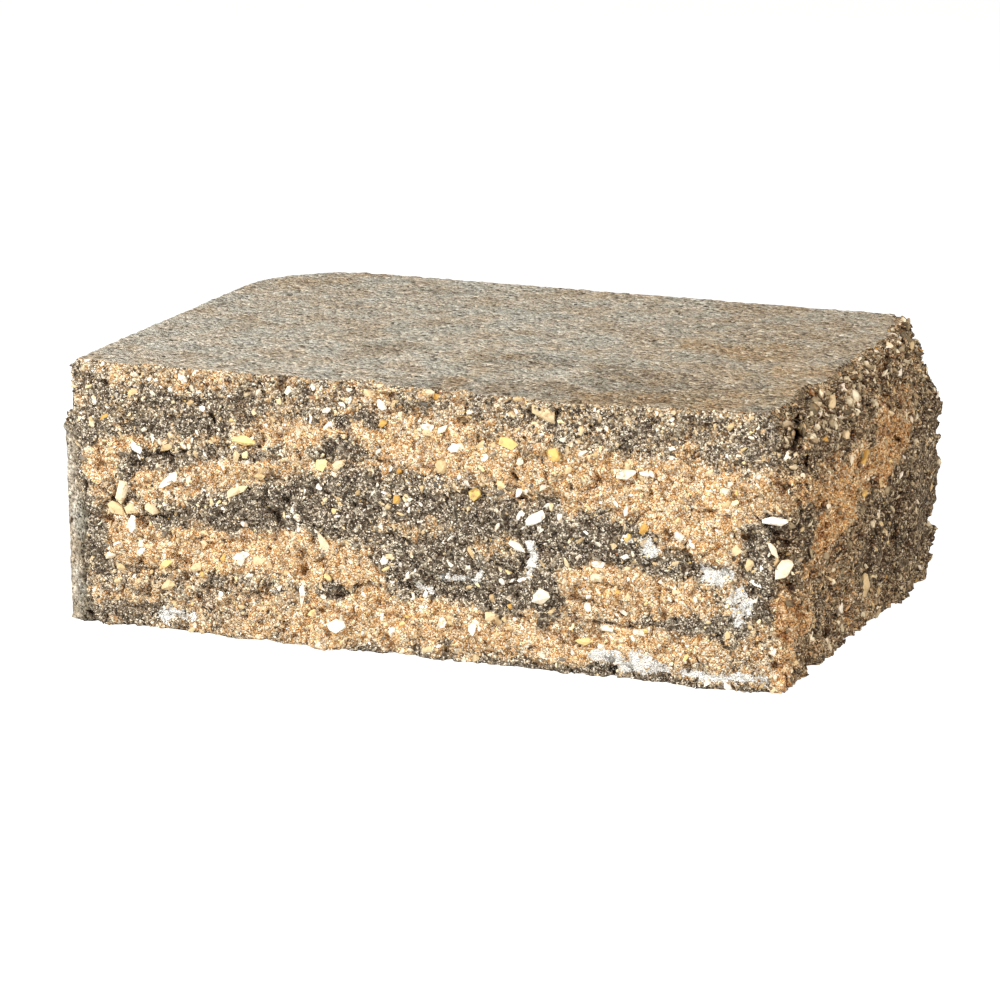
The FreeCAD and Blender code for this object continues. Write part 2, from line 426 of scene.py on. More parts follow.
def is_moulded(face):
    """True where a face of the solid was shaped by the mould, and not by a break."""
    near = 0.15 * mm
    c, n = face.center, face.normal
    notch_edge = front + notch_depth
    flare = Vector((-cheek_run, cheek_flare, 0)).normalized()
    bevel = Vector((-notch_depth, -notch_width, 0)).normalized()
    to_edge = c - Vector((left, notch_edge, c.z))
    if abs(n.z) > 0.99 and (c.z < near or c.z > height - near):
        return True
    if n.y > 0.99 and c.y > back - near:
        return True
    if n.x < -0.99 and abs(c.x - side) < near:
        return True
    if n.dot(flare) > 0.99 and abs(to_edge.dot(flare)) < near:
        return True
    if n.dot(bevel) > 0.99 and abs(to_edge.dot(bevel)) < near:
        return True
    return n.x < 0 and n.y > 0 and c.y > back - rear_corner_radius and abs(n.z) < 0.01


def cast_copy():
    """Merged copy of the solid's mesh, and a tree of its broken faces."""
    node = frame["nodes"]["wall_block"]
    piece = node.copy()
    piece.data = node.data.copy()
    piece.name = "cast_block"
    piece.parent = None
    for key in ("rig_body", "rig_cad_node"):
        del piece[key]
    bpy.context.scene.collection.objects.link(piece)
    select_only(piece)
    bpy.ops.object.mode_set(mode="EDIT")
    bpy.ops.mesh.select_all(action="SELECT")
    bpy.ops.mesh.remove_doubles(threshold=0.01 * mm)
    bpy.ops.object.mode_set(mode="OBJECT")
    mesh = piece.data
    broken = [list(face.vertices) for face in mesh.polygons if not is_moulded(face)]
    tree = BVHTree.FromPolygons([v.co for v in mesh.vertices], broken)
    return piece, tree


# Crisp edges of the split face's ledges, which step back on the right of each line, and
# narrow crevices, whose both sides fall into the line. Each is its depth in millimetres and
# its line, as places along the face and up.
ledges = (
    (1.8, ((-60, 44), (-76, 41), (-95, 39), (-114, 42))),
    (1.6, ((-8, 25), (-22, 32), (-36, 42))),
    (1.4, ((-108, 63), (-128, 66))),
    (1.5, ((60, 22.5), (46, 23), (20, 24), (-4, 24))),
    (1.4, ((100, 19), (80, 18.5), (66, 17))),
    (1.8, ((122, 62), (118, 52), (117.5, 42), (120, 34))),
    (1.6, ((-98, 24), (-128, 25))),
    (1.4, ((60, 60), (38, 62), (6, 68))),
    (1.5, ((112, 44), (96, 40), (78, 42), (58, 44))),
    (1.3, ((-20, 68), (-44, 66), (-70, 60))),
)
crevices = (
    (1.8, ((-125, 58), (-123, 51), (-125, 47))),
    (1.8, ((-60, 51), (-58, 45), (-61, 38))),
    (2.2, ((34, 73.5), (35.5, 71.5))),
    (2.0, ((38.5, 88), (39.5, 86))),
    (1.6, ((-136, 56), (-135, 50), (-136, 44))),
    (1.5, ((-84, 86), (-82, 80))),
    (1.5, ((56, 20), (68, 20.5), (80, 19))),
)


def step_back(u, v, lines, reach, one_sided):
    """Depth that ledges or crevices take from each place, fading out over the reach."""
    depth = np.zeros(len(u))
    for most, line in lines:
        for start, end in zip(line, line[1:]):
            a, b = np.array(start) * mm, np.array(end) * mm
            run = b - a
            length = np.hypot(*run)
            t = ((u - a[0]) * run[0] + (v - a[1]) * run[1]) / length**2
            beside = ((u - a[0]) * run[1] - (v - a[1]) * run[0]) / length
            beyond = length * (np.clip(-t, 0, None) + np.clip(t - 1, 0, None))
            away = np.hypot(beside, beyond * 2)
            fade = ease(1 - away / reach)
            if one_sided:
                fade *= ease(beside / (0.8 * mm) + 0.5)
            depth = np.maximum(depth, most * mm * fade)
    return depth


# The crack down from the crumbled front corner, as places on a plane that faces that corner
crack_along = np.array([math.cos(camera_turn), math.sin(camera_turn), 0])
crack_inward = np.array([-math.sin(camera_turn), math.cos(camera_turn), 0])
crack = (
    (5.0, ((105, 75), (101, 72.4), (98.4, 69.2), (97.4, 65.9))),
    (6.0, ((97.4, 65.9), (97, 63.3), (97.8, 60.8), (97, 58), (96, 55.5))),
)

# How far each reaches from its line
ledge_reach = 3.5 * mm
crevice_reach = 1.35 * mm
crack_reach = 1.08 * mm


def crevice_depth(points, spread=1.0):
    """Depth of the crevices on the split face. A spread over 1 reaches further round them."""
    u = points[:, 0] + wander(points, 1.4, 7, 90)
    depth = step_back(u, points[:, 2], crevices, crevice_reach * spread, False)
    return depth * (points[:, 1] < front + 30 * mm)


def crack_depth(points, spread=1.0):
    """Depth of the corner's crack, which runs into the block on the crack_inward line."""
    upward = points[:, 2] + points @ crack_inward * math.tan(camera_tilt)
    return step_back(points @ crack_along, upward, crack, crack_reach * spread, False)


def broken_relief(points):
    """How far the breaks stand out of the solid's plain facets."""
    # Broad swells
    relief = wander(points, 2.0, 20, 1)

    # Chunks and smaller crumbs: each has its own height and tilt, and a rounded back.
    # Each is its spacing, its step in height, its tilt as a slope, and a seed
    chunks = (9 * mm, 2.0 * mm, 0.45, 10)
    fine_crumbs = (4 * mm, 1.4 * mm, 0.5, 20)
    roundness = 0.12
    for spacing, step, tilt, seed in (chunks, fine_crumbs):
        offset, distance, luck = crumbs(points, spacing, seed)
        relief += step * (luck[:, 0] - 0.5)
        relief += tilt * (offset[:, 0] * (luck[:, 1] - 0.5) + offset[:, 2] * (luck[:, 2] - 0.5))
        relief -= roundness * distance**2 / spacing
    relief += wander(points, 0.5, 2.2, 3)

    # Holes that lumps fell out of
    hole_depth, hole_spacing, steepness, rarity = 3.0 * mm, 7 * mm, 5, 3.7
    relief -= hole_depth * ease(soft_noise(points, hole_spacing, 4) * steepness - rarity)

    # Ledges of the split face, with ragged and broken edges
    ledge_share = 0.8
    on_end = end_share(points)
    ragged = wander(points, 4, 7, 90) + wander(points, 2, 2, 91)
    u, v = points[:, 0] + ragged, points[:, 2] + ragged
    broken_up = ease(soft_noise(points, 8 * mm, 92) * 2.4 - 0.5) * (1 - on_end)
    relief -= ledge_share * step_back(u, v, ledges, ledge_reach, True) * broken_up
    relief -= crevice_depth(points)

    # The end broke more roughly than the face
    rougher_end, raised = 0.35, 0.35 * mm
    return relief * (1 + rougher_end * on_end) + raised


def moulded_relief(points):
    """Fine grit and small holes of the moulded skin, never above its own plane."""
    coarse_grit, fine_grit = 0.55 * mm, 0.3 * mm
    hole_spacing, hole_depth, hole_share = 7 * mm, 1.5 * mm, 0.65
    smallest_hole, hole_range, rim_end = 0.6, 1.5, 1.3
    grit = coarse_grit * soft_noise(points, 2.6 * mm, 5) + fine_grit * soft_noise(points, 1.3 * mm, 6)
    offset, distance, luck = crumbs(points, hole_spacing, 30)
    radius = (smallest_hole + hole_range * luck[:, 0]) * mm
    hole = ease(rim_end - distance / radius) * (luck[:, 1] > 1 - hole_share)
    above_bed = points[:, 2] > 0.5 * mm
    return -(grit + hole_depth * hole) * above_bed


def nearest_break(tree, places, normals):
    """Distance of each vertex from the solid's broken faces, and the way they look there."""
    reach, far_away = 6 * mm, 1.0
    away = np.full(len(places), far_away)
    outward = normals.copy()
    for i, place in enumerate(places):
        hit, normal, index, distance = tree.find_nearest(Vector(place), reach)
        if hit is not None:
            away[i] = distance
            outward[i] = normal
    return away, outward


def roughen(mesh, tree):
    """Moves the vertices to the weathered surface, and stores its hollows and its skin."""
    places = vertex_places(mesh)
    normals = np.zeros(len(places) * 3)
    mesh.vertices.foreach_get("normal", normals)
    normals = normals.reshape(-1, 3)
    away, outward = nearest_break(tree, places, normals)
    level = outward * (1, 1, 0)
    level /= np.maximum(np.linalg.norm(level, axis=1, keepdims=True), 0.2)

    # Relief stands out level, so that the beds stay flat
    break_fade, skin_fade = 4 * mm, 1.5 * mm
    break_weight = ease(1 - away / break_fade)
    skin_weight = ease(away / skin_fade - 0.3)
    crevice = crevice_depth(places)
    places += level * (broken_relief(places) * break_weight)[:, None]
    opening = crack_depth(places)
    places += crack_inward * (opening * break_weight)[:, None]
    places += normals * (moulded_relief(places) * skin_weight)[:, None]

    # Crumbled arris: the skin's edge falls away over a width that varies along it
    widest, nibbled, slope, beside_crack = 7 * mm, 2.5 * mm, 0.5, 0.6
    crumbled = widest * ease(soft_noise(places, 12 * mm, 7) * 1.6 - 0.3)
    crumbled += nibbled * (soft_noise(places, 3 * mm, 9) - 0.4)
    drop = np.clip(crumbled - away, 0, None) * slope + beside_crack * opening
    places[:, 2] -= drop * ease((places[:, 2] - height + 2 * mm) / mm)
    places = np.clip(places, box_low, box_high)
    mesh.vertices.foreach_set("co", places.ravel())

    # Painted shade in the materials follows these: how deep each vertex lies in a hollow, and how
    # near it lies to a crevice or the crack
    full_shade_depth, crevice_shade_depth, skin_edge = 1.2 * mm, 2.5 * mm, 0.9 * mm
    hollow = sunken_depth(mesh, places, outward) / full_shade_depth + 0.05
    skin = ease((away - np.clip(crumbled, 0, None) * 0.8) / skin_edge - 0.2)
    store(mesh, "hollow", ease(hollow))
    store(mesh, "crevice", ease(np.maximum(crevice, opening) / crevice_shade_depth - 0.3))
    store(mesh, "skin", np.maximum(skin, smeared_share(places)))


def store_colouring(mesh, places):
    """Stores the pigment, bloom, tone, the share of the broken end, and the stains with painted shade
    along the side's notch, that the materials read.
    """
    on_end = end_share(places)
    rust, soot_and_shade = skin_stains(places)
    flat_patches = soft_noise(places * (1, 0.35, 1), 6 * mm, 11) - 0.5
    store(mesh, "charcoal", charcoal_share(places))
    store(mesh, "end_weight", on_end)
    store(mesh, "bloom", bleached_share(places))
    store(mesh, "tone", soft_noise(places, 3 * mm, 8) + 2.4 * flat_patches * on_end)
    store(mesh, "rust", rust)
    store(mesh, "soot_and_shade", soot_and_shade)


def weathered_cast_block():
    piece, tree = cast_copy()
    apply_modifier(piece, "REMESH", mode="VOXEL", voxel_size=voxel)
    roughen(piece.data, tree)
    triangles = len(piece.data.polygons) * 2
    if triangles > most_triangles:
        apply_modifier(piece, "DECIMATE", ratio=most_triangles / triangles)
    places = np.clip(vertex_places(piece.data), box_low, box_high)
    piece.data.vertices.foreach_set("co", places.ravel())
    store_colouring(piece.data, places)
    select_only(piece)
    bpy.ops.object.shade_smooth()
    return piece


# Sand grains and stone chips

def crushed_shapes(count, roundness, seed):
    """Small convex shapes with flat facets, as crushing gives: unit length, width, height.

    Roundness is 0 for shapes made from a cube, 1 from an icosahedron and 2 from a ball."""
    uneven, skewed = 0.42, 0.25
    rng = np.random.default_rng(seed)
    shapes = []
    for index in range(count):
        bpy.ops.object.select_all(action="DESELECT")
        if roundness == 0:
            bpy.ops.mesh.primitive_cube_add(size=1)
        else:
            bpy.ops.mesh.primitive_ico_sphere_add(subdivisions=roundness, radius=0.6)
        shape = bpy.context.object
        places = vertex_places(shape.data)
        places *= 1 + rng.uniform(-uneven, uneven, places.shape)
        places[:, :2] += rng.uniform(-skewed, skewed) * places[:, 1::-1]
        places /= np.ptp(places, axis=0)
        shape.data.vertices.foreach_set("co", places.ravel())
        bpy.ops.object.mode_set(mode="EDIT")
        bpy.ops.mesh.select_all(action="SELECT")
        bpy.ops.mesh.convex_hull()
        bpy.ops.mesh.quads_convert_to_tris()
        bpy.ops.mesh.normals_make_consistent(inside=False)
        bpy.ops.object.mode_set(mode="OBJECT")
        faces = np.array([list(face.vertices) for face in shape.data.polygons])
        shapes.append((vertex_places(shape.data), faces))
        bpy.data.objects.remove(shape)
    return shapes


class Ground:
    """The finished cast piece, for finding the broken surface that a grain sits on."""

    clear = 20 * mm  # how far outside the block a search for a seat starts

    def __init__(self, piece):
        mesh = piece.data
        mesh.calc_loop_triangles()
        corners = [tuple(t.vertices) for t in mesh.loop_triangles]
        self.tree = BVHTree.FromPolygons([v.co for v in mesh.vertices], corners)
        self.skin = stored(mesh, "skin")
        self.corners = corners

    def on_face(self, x, z):
        return self.meet(Vector((x, front - self.clear, z)), Vector((0, 1, 0)))

    def on_end(self, y, z):
        return self.meet(Vector((-left + self.clear, y, z)), Vector((-1, 0, 0)))

    def on_top(self, x, y):
        return self.meet(Vector((x, y, height + self.clear)), Vector((0, 0, -1)))

    def meet(self, start, direction):
        """Place and slope of the break in that direction, or None on moulded skin."""
        place, normal, index, distance = self.tree.ray_cast(start, direction)
        if place is None or max(self.skin[i] for i in self.corners[index]) > 0.5:
            return None
        return place, normal, direction


def scattered(ground, count, seed, accept):
    """Seats at random on both breaks, evenly by area, but not in a crevice. accept gives the
    chance of a stone from its place, the charcoal share and a patchy number from 0 to 1."""
    rng = np.random.default_rng(seed)
    length, depth = -2 * left, 2 * back
    arris = 16 * mm
    sides = [length * height, depth * height, length * arris, depth * arris]
    chosen = rng.choice(4, count, p=np.array(sides) / sum(sides))
    seats = []
    for side_met in chosen:
        along, up, chance = rng.random(3)
        if side_met == 0:
            seat = ground.on_face(left + along * length, up * height)
        elif side_met == 1:
            seat = ground.on_end(front + along * depth, up * height)
        elif side_met == 2:
            seat = ground.on_top(left + along * length, front + up * arris)
        else:
            seat = ground.on_top(-left - up * arris, front + along * depth)
        if seat is not None:
            seats.append((seat, chance))
    places = np.array([seat[0] for seat, chance in seats])
    shares = charcoal_share(places)
    likely = accept(places, shares, soft_noise(places, 7 * mm, seed))
    deepest_seat = 0.6 * mm
    near_gap = np.maximum(crevice_depth(places, spread=2.0), crack_depth(places, spread=2.5))
    likely = np.where(near_gap > deepest_seat, 0, likely)
    return [
        (seat, share)
        for (seat, chance), share, limit in zip(seats, shares, likely)
        if chance < limit
    ]


def on_end_arris(places):
    """1 along the top arris of the broken end, where the concrete crumbled most."""
    return end_share(places) * ease((places[:, 2] - height + 15 * mm) / (6 * mm))


def drab_chance(places, shares, patches):
    """Sandstone stands out of the broken end only, most of all along its top arris."""
    return end_share(places) * (0.08 + 0.3 * patches * shares + 0.5 * on_end_arris(places))


def joined_stones(name, shapes, stones):
    """One mesh of many stones.

    A stone is: seat, its size along, across and outward, its turn, its tilt, how deep it
    sits as a share of its height, and its tone and charcoal numbers."""
    towards_viewer = 1.5
    # Painted shade darkens each stone towards its base, from this line down its sides
    shade_line, shade_fade = 0.2, 0.5  # as shares of a stone's height above the break
    places, faces, tones, charcoals, sunk = [], [], [], [], []
    base = 0
    for number, (seat, size, turn, tilt, depth, tone, charcoal) in enumerate(stones):
        place, normal, direction = seat
        points, corners = shapes[number % len(shapes)]
        out = (normal.normalized() - direction * towards_viewer).normalized()
        up = Vector((0, 0, 1)) if abs(out.z) < 0.8 else Vector((0, 1, 0))
        across = up.cross(out).normalized()
        upward = out.cross(across)
        c, s = math.cos(turn), math.sin(turn)
        along, side_on = across * c + upward * s, upward * c - across * s
        lean = (out + along * tilt[0] + side_on * tilt[1]).normalized()
        side_on = lean.cross(along).normalized()
        along = side_on.cross(lean)
        axes = np.array([along, side_on, lean])
        local = points * size
        local[:, 2] -= depth * size[2]
        settled = local @ axes + np.array(place)
        settled += np.maximum(box_low - settled.min(axis=0), 0)
        settled += np.minimum(box_high - settled.max(axis=0), 0)
        places.append(settled)
        faces.append(corners + base)
        tones += [tone] * len(points)
        charcoals += [charcoal] * len(points)
        sunk.append(ease((shade_line + depth - points[:, 2]) / shade_fade))
        base += len(points)
    mesh = bpy.data.meshes.new(name)
    places = np.concatenate(places)
    mesh.from_pydata(places.tolist(), [], np.concatenate(faces).tolist())
    store(mesh, "tone", tones)
    store(mesh, "charcoal", charcoals)
    store(mesh, "hollow", np.concatenate(sunk))
    store(mesh, "bloom", bleached_share(places))
    store(mesh, "end_weight", end_share(places))
    piece = bpy.data.objects.new(name, mesh)
    bpy.context.scene.collection.objects.link(piece)
    return piece


def random_stones(seats, smallest, largest, steepness, seed, charcoal=None):
    """Stones of random size on the seats. The steeper, the more of them are small. Without a
    charcoal number of their own they take the pigment of the concrete around them."""
    longest, widths, heights, depths = 1.2, (0.45, 0.95), (0.45, 0.75), (0.02, 0.3)
    tilting, mixing = 0.22, 0.16
    rng = np.random.default_rng(seed)
    stones = []
    for seat, share in seats:
        size = smallest + (largest - smallest) * rng.random() ** steepness
        shape = np.array([longest, rng.uniform(*widths), rng.uniform(*heights)]) * size
        turn = rng.uniform(0, 2 * math.pi)
        tilt = rng.normal(0, tilting, 2)
        depth = rng.uniform(*depths)
        tone = rng.random()
        mixed = np.clip(1.5 * share - 0.25 + rng.normal(0, mixing), 0, 1)
        pigment = mixed if charcoal is None else charcoal
        stones.append((seat, shape, turn, tilt, depth, tone, pigment))
    return stones


# Chips that stand out on the split face: place along and up, length, width, turn in degrees
pale_on_face = (
    (-120, 53.5, 9, 5, 55), (-123, 46, 7, 4.5, -45), (-116.5, 46.5, 4, 4, 20),
    (-116.5, 41, 3.6, 6, 0), (-103, 18, 5.2, 4, 0), (-73, 32, 6, 3.2, 5), (-66, 31.5, 5.5, 4, 20),
    (-90, 26.5, 4.5, 3, 30), (-48, 20, 9.5, 2.2, 80), (-34, 10, 6.5, 5, 0), (-38.5, 41, 10, 3, -65),
    (-34, 70.5, 5, 3.6, 20), (-65, 63.5, 5.2, 2.6, 0), (-73, 58, 8, 3, 25), (-100, 60, 9, 3, 40),
    (-102, 71.5, 6.5, 2.2, 15), (-17, 94, 3.6, 3.4, 0), (2, 88, 4.6, 4.2, 0), (8, 88, 3.4, 3, 0),
    (7.5, 74, 6, 6, 40), (43.5, 58, 6.5, 5.2, 0), (76, 77, 7.5, 3.4, 10), (47, 97, 9, 5, -15),
    (66, 18.5, 12, 2.2, -8), (44.5, 29, 6.8, 6, 0), (131, 45, 7.5, 6, 25), (127, 53, 2, 6, 25),
    (12.5, 81, 4.5, 3, 30), (22, 83, 4.5, 3, 15), (41.5, 83, 3.4, 3, 0), (38, 79, 3.4, 2.4, 60),
    (25, 19, 5, 4, 0), (130, 64, 9, 2.8, 5), (6, 14, 3, 4, 0), (18, 14, 3, 4.4, 0),
    (114, 51, 4, 4, 0), (-108, 48, 6, 4, 0), (-88, 35, 3, 3, 0), (-126, 28, 5, 4, 0),
)
golden_on_face = (
    (-39.5, 70.5, 4.2, 4.6, 70), (-126, 81, 5.6, 2.3, 15), (-70, 77, 9, 3.6, -12),
    (-16, 87.5, 3, 2.6, 0), (33, 86, 6.4, 4, -5), (50.5, 82, 5, 4.6, 0), (30, 70, 4, 3.6, 50),
    (19.5, 64.5, 4.2, 4.6, 0), (60.5, 13.5, 6.4, 2.6, 0), (82, 19, 3.2, 2.2, 0), (83, 58, 4, 2.8, 60),
    (-10, 60.5, 2.8, 4, 0), (-69, 72, 3, 2.4, 30), (-104, 26, 6, 2.4, 25), (-38, 28, 4, 3, 0),
    (4, 99, 5, 2.6, 0), (-133, 92, 2.6, 1.6, 0), (115, 69, 2.6, 2.2, 0),
)

# The same for the broken end, with the place along counted from face to back
pale_on_end = (
    (-32, 95, 7, 5, -10), (-23, 17, 5, 6, 70), (1, 18, 9, 5, 75), (18, 41, 6, 2.4, 0),
    (88, 37, 7, 4, 10), (-88, 81, 4, 2.4, 0), (-33, 84, 3, 3, 0), (-90, 47, 9, 4, -20),
    (53, 88, 4, 3, 0), (70, 95, 5, 3, 0), (78, 92, 4, 3, 0), (-42, 60, 4, 2, 0),
)
golden_on_end = (
    (-6, 71, 15, 3.6, 5), (25, 15, 5, 2.4, -20), (-55, 87, 4, 2.4, 0), (-3, 55, 3, 2.4, 0),
)


def landmark_stones(meet, landmarks, seed, palest=1.0):
    """The stones of a landmark list, proud of the break so that they show at full size."""
    thinnest, edge_allowance, depth, tilting = 2.4, 1.1, -0.2, 0.07
    rng = np.random.default_rng(seed)
    stones = []
    for x, z, length, width, turn in landmarks:
        seat = meet(x * mm, z * mm)
        if seat is not None:
            thick = max(min(length, width) * 0.6, thinnest)
            size = np.array([length * edge_allowance, width * edge_allowance, thick]) * mm
            tilt = rng.normal(0, tilting, 2)
            tone = palest * rng.random()
            stones.append((seat, size, math.radians(turn), tilt, depth, tone, 0.0))
    return stones


def add_stones(cast):
    """All stones, as pairs of a joined mesh and the name of its material. A chance of a stone
    at a seat depends on its place, the share of charcoal and how patchy the stones lie."""
    ground = Ground(cast)
    grain_shapes = crushed_shapes(10, 0, 100)
    chip_shapes = crushed_shapes(20, 1, 101)
    lump_shapes = crushed_shapes(8, 2, 102)
    pieces = []

    seats = scattered(ground, 1500, 190, lambda place, share, patch: 0.9 * patch + 0.2)
    lumps = random_stones(seats, 2.6 * mm, 7.0 * mm, 2.5, 191)
    seats = scattered(ground, 2600, 240, lambda place, share, patch: on_end_arris(place))
    lumps += random_stones(seats[::2], 2.4 * mm, 6.0 * mm, 1.4, 241)
    arris_chips = random_stones(seats[1::6], 1.6 * mm, 4.2 * mm, 1.8, 242, 0.0)
    pieces.append((joined_stones("mortar_lumps", lump_shapes, lumps), "mortar"))

    seats = scattered(ground, 27000, 200, lambda place, share, patch: 1.5 * patch + 0.1)
    grains = random_stones(seats, 0.7 * mm, 2.2 * mm, 2.8, 201)
    half = len(grains) // 2
    pieces.append((joined_stones("sand_first_half", grain_shapes, grains[:half]), "mortar"))
    pieces.append((joined_stones("sand_second_half", grain_shapes, grains[half:]), "mortar"))

    seats = scattered(
        ground, 8600, 210,
        lambda place, share, patch: (0.3 + 0.6 * patch) * (1 - 0.55 * end_share(place)),
    )
    pale = arris_chips + random_stones(seats, 0.8 * mm, 4.0 * mm, 4.6, 211, 0.0)
    pale += landmark_stones(ground.on_face, pale_on_face, 212)
    pale += landmark_stones(ground.on_end, pale_on_end, 213)
    pieces.append((joined_stones("pale_chips", chip_shapes, pale), "pale"))

    seats = scattered(ground, 420, 220, lambda place, share, patch: 0.9 - 0.5 * share)
    golden = random_stones(seats, 1.0 * mm, 3.2 * mm, 4.0, 221, 0.0)
    golden += landmark_stones(ground.on_face, golden_on_face, 222)
    golden += landmark_stones(ground.on_end, golden_on_end, 223, palest=0.3)
    pieces.append((joined_stones("golden_chips", chip_shapes, golden), "golden"))

    seats = scattered(ground, 420, 230, lambda place, share, patch: 0.4 + 0.6 * patch)
    grey = random_stones(seats, 1.2 * mm, 3.4 * mm, 3.0, 231, 1.0)
    pieces.append((joined_stones("grey_chips", chip_shapes, grey), "grey"))

    seats = scattered(ground, 15000, 250, drab_chance)
    drab = random_stones(seats, 1.2 * mm, 4.4 * mm, 2.2, 251, 0.0)
    pieces.append((joined_stones("sandstone_chips", lump_shapes, drab), "drab"))
    return pieces


# Materials

def linear(code):
    """Linear colour of an sRGB hex code."""
    channels = [int(code[k : k + 2], 16) / 255 for k in (0, 2, 4)]
    return [c / 12.92 if c <= 0.04045 else ((c + 0.055) / 1.055) ** 2.4 for c in channels] + [1.0]


def new_material(name):
    material = bpy.data.materials.new(name)
    material.use_nodes = True
    tree = material.node_tree
    tree.nodes.clear()
    return material, tree


def node(tree, kind, *inputs, stops=(), **more):
    """Adds a node and gives it back.

    Inputs come in the order of the node's live sockets, or by name: a keyword with a capital
    is an input, with _ for a space, and one in small letters is a setting. A node that is
    used as an input stands for its first live output. Stops are a ramp's places and hex codes."""
    made = tree.nodes.new("ShaderNode" + kind)
    for name, value in more.items():
        if name[0].islower():
            setattr(made, name, value)
    filled = list(zip([socket for socket in made.inputs if socket.enabled], inputs))
    for name, value in more.items():
        if name[0].isupper():
            filled.append((made.inputs[name.replace("_", " ")], value))
    for socket, value in filled:
        if isinstance(value, bpy.types.Node):
            value = next(output for output in value.outputs if output.enabled)
        if isinstance(value, bpy.types.NodeSocket):
            tree.links.new(value, socket)
        else:
            socket.default_value = value
    while stops and len(made.color_ramp.elements) < len(stops):
        made.color_ramp.elements.new(0.5)
    for index, (place, code) in enumerate(stops):
        made.color_ramp.elements[index].position = place
        made.color_ramp.elements[index].color = linear(code)
    return made


def per_mm(size):
    """Texture scale at which a pattern repeats about every this many millimetres."""
    return 1 / (size * mm)


def finish_surface(tree, colour, height_value, height_mm, roughness):
    bump = node(tree, "Bump", Strength=1.0, Distance=height_mm * mm, Height=height_value)
    shader = node(
        tree, "BsdfPrincipled", Base_Color=colour, Roughness=roughness, IOR=1.5,
        Specular_IOR_Level=0.3, Normal=bump,
    )
    node(tree, "OutputMaterial", shader)


# Painted shade in the crevices and the crack, on both kinds of surface
crevice_shade = "261C12"
crevice_shade_cover = 0.9


